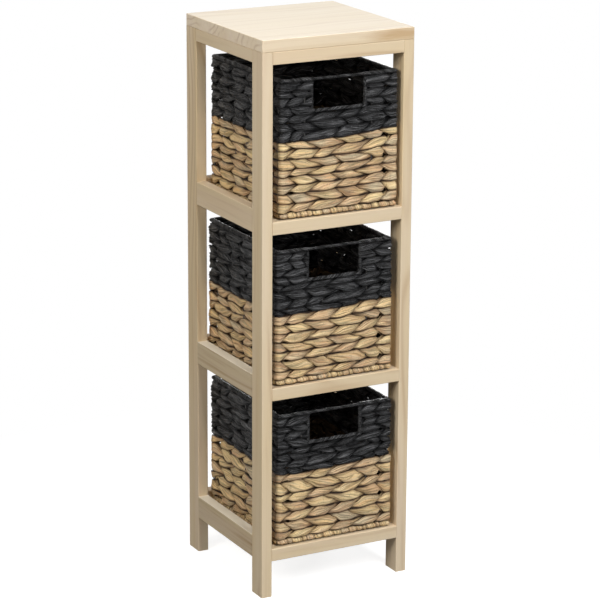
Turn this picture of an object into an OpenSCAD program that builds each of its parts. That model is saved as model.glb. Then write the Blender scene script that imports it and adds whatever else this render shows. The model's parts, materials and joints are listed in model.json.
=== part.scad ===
// Bathroom storage tower: an open wooden frame with three shelves, and a woven
// basket on each shelf that slides out to the front.
// Frame: +X to the right, -Y to the front, +Z up, origin on the floor under the
// middle of the tower. Millimetres.

/* [Baskets] */
// Outer width of a basket
basket_w = 185; // [150:1:240]
// Outer depth of a basket
basket_d = 215; // [160:1:260]
// Height of a basket from its bottom roll to the top of its rim
basket_h = 195; // [160:1:260]
// Thickness of the woven wall
wall_t = 9; // [7:0.5:10]
// Height of the black band of the top basket, rim included
top_black_h = 87; // [70:1:110]
// Height of the black band of the middle basket, rim included
middle_black_h = 93; // [70:1:110]
// Height of the black band of the bottom basket, rim included
bottom_black_h = 89; // [70:1:110]
// Height of the rim
rim_h = 6.4; // [5:0.2:7]
// Width of the rim
rim_w = 8; // [6:0.2:9]
// Height of the bottom roll
roll_h = 9; // [7:0.5:12]
// Width of the bottom roll
roll_w = 10; // [8:0.5:10.5]
// Thickness of the woven base
base_t = 6; // [4:0.5:6.5]
// Height of the base's underside over the bottom of the roll
base_lift = 2; // [1:0.5:2.5]
// Gap between the base and the bottom roll round it
base_gap = 0.2; // [0.1:0.05:0.3]

/* [Hand hole] */
// Width of the hand hole in the front wall
hole_w = 79; // [60:1:100]
// Height of the hand hole, from its sill to the underside of the rim
hole_h = 38; // [25:1:55]

/* [Basket wires] */
// Corner radius of the hoops, on their centre line
wire_corner_r = 4; // [3:0.1:6]
// Diameter of the top hoop, the bottom hoop and the sill
hoop_d = 3.5; // [3:0.1:4.5]
// Diameter of the stakes and of the base wires
stake_d = 2.6; // [2:0.1:2.8]
// Wanted distance from one stake to the next; each wall has a whole number
stake_pitch = 36; // [30:1:45]

/* [Room round the baskets] */
// Sum of the gaps left and right of a basket
side_play = 18; // [12:1:40]
// Gap between the top basket and the right side of its bay
top_basket_gap = 5.4; // [1:0.1:12]
// Gap between the middle basket and the right side of its bay
middle_basket_gap = 10.4; // [1:0.1:12]
// Gap between the bottom basket and the right side of its bay
bottom_basket_gap = 7.7; // [1:0.1:12]
// Headroom over the middle and the bottom basket
headroom = 24.5; // [15:0.1:80]
// Headroom over the top basket
top_headroom = 22.6; // [15:0.1:80]
// Distance of a basket's front behind the front of the tower
setback = 3.7; // [2:0.1:40]
// Running gap of a basket to its shelf and to the back rail
running_gap = 0.3; // [0.2:0.1:1]

/* [Wood] */
// Thickness of the leg and rail stock
stock_t = 16; // [15:0.5:24]
// Size of a leg along the depth of the tower
leg_d = 31; // [24:1:50]
// Height of the side and back rails of a shelf
rail_h = 33.5; // [30:0.5:60]
// Height of the front rail of a shelf
front_rail_h = 18.2; // [14:0.1:20]
// Height of the four rails under the top board
top_rail_h = 17.7; // [14:0.1:30]
// Thickness of the top board
board_t = 17.2; // [14:0.2:28]
// Height of the bottom rails over the floor
foot_gap = 53; // [20:1:120]
// Radius of the eased long edges
ease_r = 1.1; // [0.5:0.1:2.5]

/* [Shelf panels] */
// Thickness of a shelf panel
panel_t = 6; // [4:0.5:7]
// Depth of the grooves and of the rebate that hold a panel
groove_depth = 4; // [2.5:0.25:4.25]
// Gap round a panel's edges in its grooves
panel_gap = 0.2; // [0.1:0.05:0.5]

/* [Dowels] */
// Diameter of a dowel
dowel_d = 6; // [4:0.5:6]
// Length of a dowel, half of it in each piece
dowel_l = 22; // [16:1:24]
// Distance of a dowel's axis from the upper or lower edge of a tall rail
dowel_inset = 6.5; // [5.5:0.25:7]
// Radial gap of a dowel in its hole, for the glue
dowel_gap = 0.05; // [0.02:0.01:0.1]
// Room at the end of a dowel hole
dowel_end = 0.5; // [0.2:0.1:1]

/* [Screws] */
// Diameter of a screw's shank
screw_d = 4; // [3:0.5:5]
// Depth of a screw's tip in the top board
screw_bite = 10.3; // [8:0.1:11]
// Diameter of a screw's head
screw_head_d = 7.8; // [6.5:0.1:9]
// Distance of a screw from the middle of the tower
screw_x = 60; // [30:1:65]
// Radial gap of a screw in the rail and in its pilot hole
screw_gap = 0.1; // [0.05:0.05:0.3]
// Width of a head's cross slot
slot_w = 1.2; // [0.8:0.1:1.6]

/* [Hidden] */

// Shelf levels are counted from the bottom: 0, 1 and 2.
BOTTOM = 0;
MIDDLE = 1;
TOP = 2;
LEFT = -1;
RIGHT = 1;
FRONT = -1;
BACK = 1;

eps = 0.01; // overlap that leaves no skin behind a cut

// The tower is built round its baskets.
bay_w = basket_w + side_play;
tower_w = bay_w + 2 * stock_t;
tower_d = setback + basket_d + running_gap + stock_t;
bay_h = running_gap + basket_h + headroom;
shelf_pitch = front_rail_h + bay_h;
level_z = [for (level = [BOTTOM:TOP]) foot_gap + level * shelf_pitch];
leg_l = level_z[TOP] + front_rail_h + running_gap + basket_h + top_headroom + top_rail_h;
tower_h = leg_l + board_t;

frame_x = (tower_w - stock_t) / 2;    // middle of a side frame's stock
frame_y = (tower_d - stock_t) / 2;    // middle of a front or back rail's stock
leg_y = (tower_d - leg_d) / 2;        // middle of a leg
side_rail_l = tower_d - 2 * leg_d;
top_rail_z = leg_l - top_rail_h;

dowel_hole_d = dowel_d + 2 * dowel_gap;
dowel_hole_l = dowel_l + 2 * dowel_end;

screw_l = top_rail_h + screw_bite;
screw_tip_l = screw_d;
screw_head_h = (screw_head_d - screw_d) / 2;
slot_depth = screw_head_h / 2;

// Heights on a basket, from the bottom of its roll.
wall_z = roll_h;
black_z = [for (h = [bottom_black_h, middle_black_h, top_black_h]) basket_h - h];
rim_z = basket_h - rim_h;
sill_z = rim_z - hole_h;
top_hoop_z = rim_z + rim_h / 2;
bottom_hoop_z = base_lift + base_t / 2;
sill_hoop_z = sill_z - hoop_d;

widest = max(wall_t, roll_w, rim_w);
wire_w = basket_w - widest;           // between the centre lines of the walls
wire_d = basket_d - widest;
straight_w = wire_w - 2 * wire_corner_r;
straight_d = wire_d - 2 * wire_corner_r;

basket_gap = [bottom_basket_gap, middle_basket_gap, top_basket_gap];
basket_y = (tower_d - basket_d) / 2 - stock_t - running_gap;

wood = "#e6d3b3";
panel_wood = "#dcc6a0";
dowel_wood = "#cfae7c";
steel = "#9a9c9f";
fibre = "#b58f5f";
black_fibre = "#2b2b2d";

// ---- Shapes ----

// Rectangle of size a by b with rounded corners, centred.
module rounded(a, b, r) {
    square([a - 2 * r, b], center = true);
    square([a, b - 2 * r], center = true);
    for (x = [-1, 1], y = [-1, 1])
        translate([x * (a / 2 - r), y * (b / 2 - r)]) circle(r, $fn = 32);
}

// Bars with eased long edges, centred on the axis that they run along.
module bar_x(l, d, h) {
    rotate([90, 0, 90]) linear_extrude(l, center = true) rounded(d, h, ease_r);
}

module bar_y(l, w, h) {
    rotate([90, 0, 0]) linear_extrude(l, center = true) rounded(w, h, ease_r);
}

// Ring of a constant section that follows the rounded rectangle of the hoops.
// The section is a child, drawn on X outwards and Y upwards.
module hoop_ring() {
    for (side = [LEFT, RIGHT]) {
        translate([0, side * wire_d / 2, 0])
            rotate([90, 0, 90]) linear_extrude(straight_w, center = true) children();
        translate([side * wire_w / 2, 0, 0])
            rotate([90, 0, 0]) linear_extrude(straight_d, center = true) children();
        for (end = [FRONT, BACK])
            translate([side * straight_w / 2, end * straight_d / 2, 0])
                rotate([0, 0, side == RIGHT ? (end == BACK ? 0 : -90) : (end == BACK ? 90 : 180)])
                    rotate_extrude(angle = 90, $fn = 48)
                        translate([wire_corner_r, 0]) children();
    }
}

// Ring of a constant section that folds round the corners of the basket. The
// section is a child, centred, and no wider than size. Its inner half meets in a
// mitre at a corner, and its outer half turns about it.
module folded_ring(size) {
    for (side = [LEFT, RIGHT]) {
        translate([0, side * wire_d / 2, 0])
            rotate([90, 0, 90]) linear_extrude(wire_w, center = true) children();
        translate([side * wire_w / 2, 0, 0])
            rotate([90, 0, 0]) linear_extrude(wire_d, center = true) children();
        for (end = [FRONT, BACK])
            translate([side * wire_w / 2, end * wire_d / 2, 0])
                rotate([0, 0, side == RIGHT ? (end == BACK ? 0 : -90) : (end == BACK ? 90 : 180)])
                    rotate_extrude(angle = 90, $fn = 48) intersection() {
                        children();
                        translate([0, -size / 2]) square(size);
                    }
    }
}

// ---- Joinery ----

// Heights of the dowels in a rail: one in a low rail, two in a tall one.
function low_rail_dowels(z, h) = [z + h / 2];
function tall_rail_dowels(z) = [z + dowel_inset, z + rail_h - dowel_inset];

// Dowels, or their holes, that lie along Y where the side rails of one height
// meet the legs.
module side_joints(heights, d, l) {
    for (side = [LEFT, RIGHT], end = [FRONT, BACK], z = heights)
        translate([side * frame_x, end * side_rail_l / 2, z])
            rotate([90, 0, 0]) cylinder(h = l, d = d, center = true, $fn = 32);
}

// The same along X, where a front or back rail meets the legs.
module cross_joints(end, heights, d, l) {
    for (side = [LEFT, RIGHT], z = heights)
        translate([side * bay_w / 2, end * frame_y, z])
            rotate([0, 90, 0]) cylinder(h = l, d = d, center = true, $fn = 32);
}

module board_joints(d, l) {
    heights = low_rail_dowels(top_rail_z, top_rail_h);
    side_joints(heights, d, l);
    for (end = [FRONT, BACK]) cross_joints(end, heights, d, l);
}

module level_joints(level, d, l) {
    tall = tall_rail_dowels(level_z[level]);
    side_joints(tall, d, l);
    cross_joints(BACK, tall, d, l);
    cross_joints(FRONT, low_rail_dowels(level_z[level], front_rail_h), d, l);
}

module dowel_holes() {
    board_joints(dowel_hole_d, dowel_hole_l);
    for (level = [BOTTOM:TOP]) level_joints(level, dowel_hole_d, dowel_hole_l);
}

// Screw that points up, the face of its head at z = 0.
module screw(gap) {
    cylinder(h = screw_head_h, d1 = screw_head_d + 2 * gap, d2 = screw_d + 2 * gap, $fn = 32);
    cylinder(h = screw_l - screw_tip_l, d = screw_d + 2 * gap, $fn = 32);
    translate([0, 0, screw_l - screw_tip_l])
        cylinder(h = screw_tip_l, d1 = screw_d + 2 * gap, d2 = screw_d / 4 + 2 * gap, $fn = 32);
}

module at_screws(ends) {
    for (end = ends, side = [LEFT, RIGHT])
        translate([side * screw_x, end * frame_y, top_rail_z]) children();
}

// ---- Wooden frame ----

module top_board() {
    color(wood) difference() {
        translate([0, 0, leg_l + board_t / 2]) intersection() {
            bar_x(tower_w, tower_d, board_t);
            bar_y(tower_d, tower_w, board_t);
            linear_extrude(board_t, center = true) rounded(tower_w, tower_d, ease_r);
        }
        at_screws([FRONT, BACK]) screw(screw_gap);
    }
}

module leg(side, end) {
    color(wood) difference() {
        translate([side * frame_x, end * leg_y, 0])
            linear_extrude(leg_l) rounded(stock_t, leg_d, ease_r);
        dowel_holes();
    }
}

module top_rail_cross(end) {
    color(wood) difference() {
        translate([0, end * frame_y, top_rail_z + top_rail_h / 2])
            bar_x(bay_w, stock_t, top_rail_h);
        board_joints(dowel_hole_d, dowel_hole_l);
        at_screws([end]) screw(screw_gap);
    }
}

module top_rail_side(side) {
    color(wood) difference() {
        translate([side * frame_x, 0, top_rail_z + top_rail_h / 2])
            bar_y(side_rail_l, stock_t, top_rail_h);
        board_joints(dowel_hole_d, dowel_hole_l);
    }
}

// Outline of a panel. With room, it is the space that the grooves and the
// rebate leave for it.
module panel_outline(room) {
    square([bay_w - 2 * panel_gap + 2 * room, tower_d - 2 * stock_t], center = true);
    square([bay_w - 2 * panel_gap, tower_d - 2 * stock_t + 2 * groove_depth
        - 2 * panel_gap + 2 * room], center = true);
    square([bay_w + 2 * groove_depth - 2 * panel_gap + 2 * room,
        side_rail_l - 2 * panel_gap + 2 * room], center = true);
}

module panel(level) {
    color(panel_wood) translate([0, 0, level_z[level] + front_rail_h - panel_t])
        linear_extrude(panel_t) panel_outline(0);
}

// Groove of the panel in the rails round it. It is the panel's gap higher.
module panel_groove(level) {
    translate([0, 0, level_z[level] + front_rail_h - panel_t])
        linear_extrude(panel_t + panel_gap)
            square([bay_w + 2 * groove_depth, tower_d - 2 * stock_t + 2 * groove_depth],
                center = true);
}

module rail_front(level) {
    color(wood) difference() {
        translate([0, FRONT * frame_y, level_z[level] + front_rail_h / 2])
            bar_x(bay_w, stock_t, front_rail_h);
        panel_groove(level);
        level_joints(level, dowel_hole_d, dowel_hole_l);
    }
}

module rail_back(level) {
    color(wood) difference() {
        translate([0, BACK * frame_y, level_z[level] + rail_h / 2])
            bar_x(bay_w, stock_t, rail_h);
        panel_groove(level);
        level_joints(level, dowel_hole_d, dowel_hole_l);
    }
}

module rail_side(side, level) {
    color(wood) difference() {
        translate([side * frame_x, 0, level_z[level] + rail_h / 2])
            bar_y(side_rail_l, stock_t, rail_h);
        panel_groove(level);
        level_joints(level, dowel_hole_d, dowel_hole_l);
    }
}

module dowels_board() {
    color(dowel_wood) board_joints(dowel_d, dowel_l);
}

module dowels(level) {
    color(dowel_wood) level_joints(level, dowel_d, dowel_l);
}

module screws_board() {
    color(steel) at_screws([FRONT, BACK]) difference() {
        screw(0);
        for (turn = [0, 90])
            rotate([0, 0, turn]) translate([0, 0, slot_depth / 2 - eps])
                cube([screw_head_d * 0.6, slot_w, slot_depth + eps], center = true);
    }
}

// ---- Baskets ----

// Moves a basket from the origin to its place on a shelf.
module on_shelf(level) {
    translate([side_play / 2 - basket_gap[level], basket_y,
        level_z[level] + front_rail_h + running_gap]) children();
}

module wall(z0, z1) {
    translate([0, 0, z0]) linear_extrude(z1 - z0) difference() {
        rounded(wire_w + wall_t, wire_d + wall_t, wall_t / 2);
        square([wire_w - wall_t, wire_d - wall_t], center = true);
    }
}

module lower_wall(level) {
    color(fibre) on_shelf(level) wall(wall_z, black_z[level]);
}

module upper_wall(level) {
    color(black_fibre) on_shelf(level) difference() {
        wall(black_z[level], rim_z);
        translate([0, FRONT * wire_d / 2, sill_z + (hole_h + eps) / 2])
            cube([hole_w, wall_t + 2 * eps, hole_h + eps], center = true);
    }
}

module rim(level) {
    color(black_fibre) on_shelf(level)
        translate([0, 0, rim_z + rim_h / 2])
            folded_ring(rim_w) rounded(rim_w, rim_h, rim_h / 2 - eps);
}

module roll(level) {
    color(fibre) on_shelf(level)
        translate([0, 0, roll_h / 2])
            folded_ring(roll_w) rounded(roll_w, roll_h, roll_h / 2 - 1);
}

module base(level) {
    inset = roll_w / 2 + base_gap;
    color(fibre) on_shelf(level) translate([0, 0, base_lift]) linear_extrude(base_t)
        square([wire_w - 2 * inset, wire_d - 2 * inset], center = true);
}

// Places of the stakes along a wall, evenly spaced between the corners.
function stake_places(run) = let(n = round(run / stake_pitch))
    [for (i = [1:n - 1]) run * (i / n - 1 / 2)];

module stake(top_z) {
    cylinder(h = top_z - bottom_hoop_z, d = stake_d, $fn = 24);
}

module wires(level) {
    color(steel) on_shelf(level) translate([0, 0, bottom_hoop_z]) {
        for (z = [0, top_hoop_z - bottom_hoop_z])
            translate([0, 0, z]) hoop_ring() circle(d = hoop_d, $fn = 24);
        // Stakes of the front wall stop at the sill where the hand hole is.
        for (x = stake_places(wire_w)) {
            translate([x, BACK * wire_d / 2, 0]) stake(top_hoop_z);
            translate([x, FRONT * wire_d / 2, 0])
                stake(abs(x) < hole_w / 2 + hoop_d ? sill_hoop_z : top_hoop_z);
        }
        for (side = [LEFT, RIGHT], y = stake_places(wire_d))
            translate([side * wire_w / 2, y, 0]) stake(top_hoop_z);
        for (side = [LEFT, RIGHT], end = [FRONT, BACK])
            translate([side * straight_w / 2, end * straight_d / 2, 0])
                rotate([0, 0, side * end * 45]) translate([side * wire_corner_r, 0, 0])
                    stake(top_hoop_z);
        // Base wires run from wall to wall between the stakes.
        for (x = stake_places(wire_w))
            translate([x, 0, 0])
                rotate([90, 0, 0]) cylinder(h = wire_d, d = stake_d, center = true, $fn = 24);
        for (y = stake_places(wire_d))
            translate([0, y, 0])
                rotate([0, 90, 0]) cylinder(h = wire_w, d = stake_d, center = true, $fn = 24);
        // Sill and cheeks of the hand hole.
        translate([0, FRONT * wire_d / 2, sill_hoop_z - bottom_hoop_z]) {
            rotate([0, 90, 0])
                cylinder(h = hole_w + 2 * hoop_d, d = hoop_d, center = true, $fn = 24);
            for (side = [LEFT, RIGHT]) translate([side * (hole_w + hoop_d) / 2, 0, 0])
                cylinder(h = top_hoop_z - sill_hoop_z, d = stake_d, $fn = 24);
        }
    }
}

top_board();
leg(LEFT, FRONT);  // leg_front_left
leg(RIGHT, FRONT);  // leg_front_right
leg(LEFT, BACK);  // leg_back_left
leg(RIGHT, BACK);  // leg_back_right
top_rail_cross(FRONT);  // top_rail_front
top_rail_cross(BACK);  // top_rail_back
top_rail_side(LEFT);  // top_rail_left
top_rail_side(RIGHT);  // top_rail_right
rail_front(TOP);  // rail_front_top
rail_front(MIDDLE);  // rail_front_middle
rail_front(BOTTOM);  // rail_front_bottom
rail_back(TOP);  // rail_back_top
rail_back(MIDDLE);  // rail_back_middle
rail_back(BOTTOM);  // rail_back_bottom
rail_side(LEFT, TOP);  // rail_left_top
rail_side(LEFT, MIDDLE);  // rail_left_middle
rail_side(LEFT, BOTTOM);  // rail_left_bottom
rail_side(RIGHT, TOP);  // rail_right_top
rail_side(RIGHT, MIDDLE);  // rail_right_middle
rail_side(RIGHT, BOTTOM);  // rail_right_bottom
panel(TOP);  // panel_top
panel(MIDDLE);  // panel_middle
panel(BOTTOM);  // panel_bottom
dowels_board();
dowels(TOP);  // dowels_top
dowels(MIDDLE);  // dowels_middle
dowels(BOTTOM);  // dowels_bottom
screws_board();
wires(TOP);  // basket_top_wires
lower_wall(TOP);  // basket_top_lower_wall
upper_wall(TOP);  // basket_top_upper_wall
rim(TOP);  // basket_top_rim
roll(TOP);  // basket_top_roll
base(TOP);  // basket_top_base
wires(MIDDLE);  // basket_middle_wires
lower_wall(MIDDLE);  // basket_middle_lower_wall
upper_wall(MIDDLE);  // basket_middle_upper_wall
rim(MIDDLE);  // basket_middle_rim
roll(MIDDLE);  // basket_middle_roll
base(MIDDLE);  // basket_middle_base
wires(BOTTOM);  // basket_bottom_wires
lower_wall(BOTTOM);  // basket_bottom_lower_wall
upper_wall(BOTTOM);  // basket_bottom_upper_wall
rim(BOTTOM);  // basket_bottom_rim
roll(BOTTOM);  // basket_bottom_roll
base(BOTTOM);  // basket_bottom_base
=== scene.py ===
"""Looks of a bathroom storage tower: a pale wooden frame and three twined baskets.

Lengths are in metres, +Z is up and -Y is the front, as in the frame. The wooden parts keep
their shape and get a planed softwood finish. The plain solids of the baskets give way to
stalks that are twined in pairs round the wires, and to wrapped rims and rolls.
"""
import json
from math import cos, pi, radians, sin

import bpy
import numpy as np
from bpy.props import (FloatProperty, FloatVectorProperty, IntProperty, IntVectorProperty,
                       PointerProperty)
from mathutils import Matrix, Vector


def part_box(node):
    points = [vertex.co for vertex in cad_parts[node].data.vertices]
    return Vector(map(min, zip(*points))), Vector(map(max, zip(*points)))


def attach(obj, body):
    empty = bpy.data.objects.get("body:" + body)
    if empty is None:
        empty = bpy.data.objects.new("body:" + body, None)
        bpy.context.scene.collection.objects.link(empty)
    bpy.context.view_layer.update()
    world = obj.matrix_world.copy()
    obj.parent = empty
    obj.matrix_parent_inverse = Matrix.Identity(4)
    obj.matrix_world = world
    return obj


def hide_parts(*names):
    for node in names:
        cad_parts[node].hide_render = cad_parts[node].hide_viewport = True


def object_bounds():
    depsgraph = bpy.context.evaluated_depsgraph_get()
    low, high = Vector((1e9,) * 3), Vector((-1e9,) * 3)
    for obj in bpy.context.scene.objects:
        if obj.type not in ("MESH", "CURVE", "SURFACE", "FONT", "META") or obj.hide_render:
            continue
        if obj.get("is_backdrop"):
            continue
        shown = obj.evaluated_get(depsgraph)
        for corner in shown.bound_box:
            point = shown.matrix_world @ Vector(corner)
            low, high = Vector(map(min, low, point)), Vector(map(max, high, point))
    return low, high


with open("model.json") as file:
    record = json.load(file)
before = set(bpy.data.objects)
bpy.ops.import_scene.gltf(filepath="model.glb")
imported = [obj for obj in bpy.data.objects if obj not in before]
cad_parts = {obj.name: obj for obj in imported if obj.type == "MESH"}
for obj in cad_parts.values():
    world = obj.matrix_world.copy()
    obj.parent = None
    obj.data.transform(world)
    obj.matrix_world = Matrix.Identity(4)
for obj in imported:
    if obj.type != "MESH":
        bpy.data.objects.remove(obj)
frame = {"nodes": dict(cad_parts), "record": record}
CAD_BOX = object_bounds()

bl_info = {
    "name": "Storage Tower with Twined Baskets",
    "version": (1, 0, 0),
    "blender": (4, 5, 0),
    "location": "View3D > Sidebar > Tower",
    "description": "Finishes a wooden tower and weaves the three baskets in it",
    "category": "Object",
}

LEVELS = ("top", "middle", "bottom")
LEFT, RIGHT = -1, 1
WHITE = (1.0, 1.0, 1.0, 1.0)


def srgb(red, green, blue):
    """Linear colour of a screen colour given in steps of 0 to 255."""
    share = np.array([red, green, blue]) / 255
    linear = np.where(share <= 0.04045, share / 12.92, ((share + 0.055) / 1.055) ** 2.4)
    return (*linear.tolist(), 1.0)


def put(name, data):
    """New object of the scene that shows the data."""
    obj = bpy.data.objects.new(name, data)
    bpy.context.scene.collection.objects.link(obj)
    return obj


# ---- Settings ----

def length(name, description, default):
    """A size in metres."""
    return FloatProperty(name=name, description=description, default=default, unit="LENGTH",
                         precision=5, min=0.0)


def number(name, description, default):
    """A plain number, with its unit in the description."""
    return FloatProperty(name=name, description=description, default=default)


def count(name, description, default):
    """A whole number of 1 or more."""
    return IntProperty(name=name, description=description, default=default, min=1)


def counts(name, description, default):
    """One number for each basket, from the top one down."""
    return IntVectorProperty(name=name, description=description, default=default, min=1)


def colour(name, description, default):
    """A linear colour with its alpha."""
    return FloatVectorProperty(name=name, description=description, default=default,
                               subtype="COLOR", size=4, min=0.0, max=1.0)


class TowerWeaveSettings(bpy.types.PropertyGroup):
    """Sizes of the stalks and of the way they are twined"""
    hoop: length("Hoop", "Diameter of the hoops in the baskets", 0.0035)
    corner: length("Corner", "Radius of the weave's corners on the walls' middle", 0.0006)
    stakes: count("Stakes", "Spaces between the stakes of each wall", 5)
    end_space: length("End space", "Space beside a corner on the front and the back", 0.0275)
    fold: number("Fold", "Power that squares the front corners: less is sharper", 0.60)
    back_fold: number("Back fold", "The same for the back corners", 0.88)
    natural_rows: counts("Natural rows", "Rows of bare stalks over the bottom roll", (8, 7, 7))
    sill_rows: counts("Rows under the sill", "Rows of black stalks under the hand hole", (3, 4, 4))
    hole_rows: count("Rows beside the hole", "Rows of black stalks beside the hand hole", 4)
    uneven: number("Unevenness", "Change of a row's height, as a share", 0.17)
    drift: length("Drift", "Rise and fall of the line between two rows", 0.0011)
    width: number("Stalk width", "Width of a stalk at a stake, as a share of its row", 1.07)
    thickness: length("Stalk thickness", "Thickness of a stalk where it passes a stake", 0.0048)
    swing: length("Swing", "Distance of a stalk from the stake that it passes", 0.0026)
    grip: number("Grip", "How suddenly a stalk changes sides between two stakes", 2.4)
    rise: number("Rise", "Height of a stalk's middle where two cross, as a share", 0.215)
    slope: number("Slope", "Height that it gains on the way there, as a share", 0.07)
    lean: number("Lean", "Tilt of a stalk's face where two cross, in radians", 0.36)
    pinch: number("Pinch", "Share of its width that a stalk loses where two cross", 0.45)
    crossing: number("Crossing", "Power of the sine that shapes a crossing: more is shorter", 5.0)
    corner_gap: length("Corner gap", "How far a stalk is drawn in beside a corner", 0.0027)
    black_crease: number("Black crease", "Depth of the black stalks' creases, a share", 0.66)
    base_pitch: length("Base pitch", "Distance between the rows of the base", 0.0125)
    swell: length("Swell", "Rise of the rows at the front right corner", 0.0055)
    dip: length("Dip", "Fall of the rows on the back wall beside the left corner", 0.0058)
    seed: count("Seed", "Start of the random numbers", 7)


class TowerWrapSettings(bpy.types.PropertyGroup):
    """Sizes of the wrapped rim, bottom roll and hand hole"""
    rim_pitch: length("Rim pitch", "Length of rim that one turn of stalk covers", 0.0240)
    rim_grip: length("Grip height", "Height of the rim over the hand hole", 0.0046)
    roll_pitch: length("Roll pitch", "Length of roll that one turn of stalk covers", 0.0115)
    sill_pitch: length("Sill pitch", "Length of sill that one turn covers", 0.0210)
    sill_bar: length("Sill bar", "Height of the wrapped bar under the hand hole", 0.0058)
    groove: number("Groove", "Depth of the groove between two turns, as a share", 0.38)
    rim_groove: number("Rim groove", "The same on the rim, where the turns lie flat", 0.14)
    hole_width: length("Hole width", "Clear width of the hand hole", 0.079)
    hole_height: length("Hole height", "Clear height of the hand hole under the rim", 0.038)


class TowerFinishSettings(bpy.types.PropertyGroup):
    """Colours of the wood and of the stalks"""
    wood: colour("Wood", "Ground colour of the planed softwood", srgb(229, 211, 183))
    wood_straw: colour("Straw streaks", "Yellowish streaks along the grain", srgb(221, 199, 160))
    wood_rose: colour("Rosy streaks", "Pinkish streaks along the grain", srgb(219, 194, 172))
    # Painted light: the paler top of the board and of the lower side rails, where light from above
    # falls
    wood_top: colour("Top", "Paler top of the board", srgb(243, 234, 216))
    wood_line: colour("Growth lines", "Late wood of each year", srgb(190, 160, 124))
    wood_knot: colour("Knot", "Stain round the knot of the top board", srgb(188, 152, 102))
    side_rail_tone: number("Side rail tone", "Darkness of the lower side rails", 0.84)
    side_rail_figure: number("Side rail figure", "Strength of their growth lines", 3.2)
    pale: colour("Pale ridges", "Ridges along a bare stalk", srgb(252, 233, 190))
    straw: colour("Straw stalk", "Brightest stalks", srgb(252, 223, 166))
    tan: colour("Tan stalk", "Common stalks", srgb(237, 202, 148))
    rose: colour("Rosy stalk", "Pinkish brown stalks", srgb(224, 182, 140))
    ash: colour("Ash stalk", "Greyish stalks", srgb(213, 194, 163))
    # Painted shade: the next two colours darken the stalks' creases, hidden ends and inner sides;
    # the second also colours real dark fissures, streaks, hairs and specks
    shade_brown: colour("Bark", "Shallow end of the creases", srgb(138, 92, 54))
    umber_and_shade: colour("Umber", "Depth of the creases and the stalks' dark ends", srgb(34, 21, 12))
    black: colour("Black paint", "Paint on the upper rows", srgb(25, 25, 26))
    # Paler paint on the ridges: partly wear, partly painted glints
    black_worn_and_glint: colour("Worn paint", "Paint on the ridges", srgb(136, 137, 140))
    # Painted shade in the creases of the black stalks, deepened on the fissures
    black_fissure_shade: colour("Deep paint", "Paint in the creases", srgb(12, 12, 13))
    steel: colour("Steel", "Zinc-plated screws", srgb(176, 178, 180))
    lacquer: colour("Lacquer", "Lacquer on the baskets' wires", srgb(40, 38, 36))


class TowerStageSettings(bpy.types.PropertyGroup):
    """Camera and light"""
    azimuth: number("Azimuth", "Degrees by which the camera stands left of the front", -28.10)
    elevation: number("Elevation", "Degrees of the camera over the horizon", 16.13)
    distance: length("Distance", "From the camera to its aim", 3.815)
    aim_side: length("Aim to the side", "Distance of the aim right of the middle", 0.0035)
    aim_height: length("Aim height", "Height of the aim over the floor", 0.3945)
    roll: number("Roll", "Degrees by which the camera leans", 0.315)
    lens: number("Lens", "Focal length in millimetres on a 36 mm sensor", 159.8)
    ambient: number("Ambient", "Strength of the even light", 0.01)
    key: number("Key", "Power of the large lamp, in watts", 85.0)
    fill: number("Fill", "Power of the lamp on the left, in watts", 33.5)
    fill_colour: colour("Fill colour", "Light of the lamp on the left",
                        (1.0, 0.955, 0.875, 1.0))
    low: number("Low", "Power of the lamp near the floor, in watts", 15.0)
    top: number("Top", "Power of the lamp overhead, in watts", 19.5)
    back: number("Back", "Power of the low lamp behind the tower, in watts", 52.0)
    floor_bounce: number("Floor bounce", "Share of light that the floor returns", 0.15)
    floor_shade: number("Floor shade", "Share of light that the camera sees on the floor", 0.50)
    floor_glow: number("Floor glow", "White that the camera sees besides", 0.82)
    floor_near: length("Floor near", "Distance over which the floor's shading fades out", 0.45)


SETTINGS = {
    "tower_weave": TowerWeaveSettings,
    "tower_wrap": TowerWrapSettings,
    "tower_finish": TowerFinishSettings,
    "tower_stage": TowerStageSettings,
}


# ---- Places on a basket ----

FRONT_RIGHT, BACK_LEFT = 2, 6  # numbers of the marks where these corners start on the path
BACK_WALL = 2  # number of the back wall, counted along the path from 0 for the front
SWELL_REACH = 0.048  # distance from its corner at which the swell is half as high
DIP_REACH = 0.0125  # distance of the dip's middle from its corner, and the dip's spread
DRIFT_WAVES = 16

# Middle and spread of the corner gap's bell, in spaces from the corner: for the one stalk that
# goes in, for both on the back wall, and for the one that comes out
GOING_IN, BOTH_GOING_IN, COMING_OUT = (0.5, 0.34), (0.45, 0.36), (0.5, 0.30)

# Shares of the corner gap at the last crossing before a corner and at the first one after it,
# on the front, right, back and left wall. The last place is for a wall number of -1 or 4: the
# corner in which the path starts, and the front again where a row ends at the hand hole.
GAP_BEFORE = np.array([1.0, 0.15, 1.1, 0.15, 0.15])
GAP_AFTER = np.array([0.6, 0.1, 0.1, 1.9, 0.1])


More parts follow.
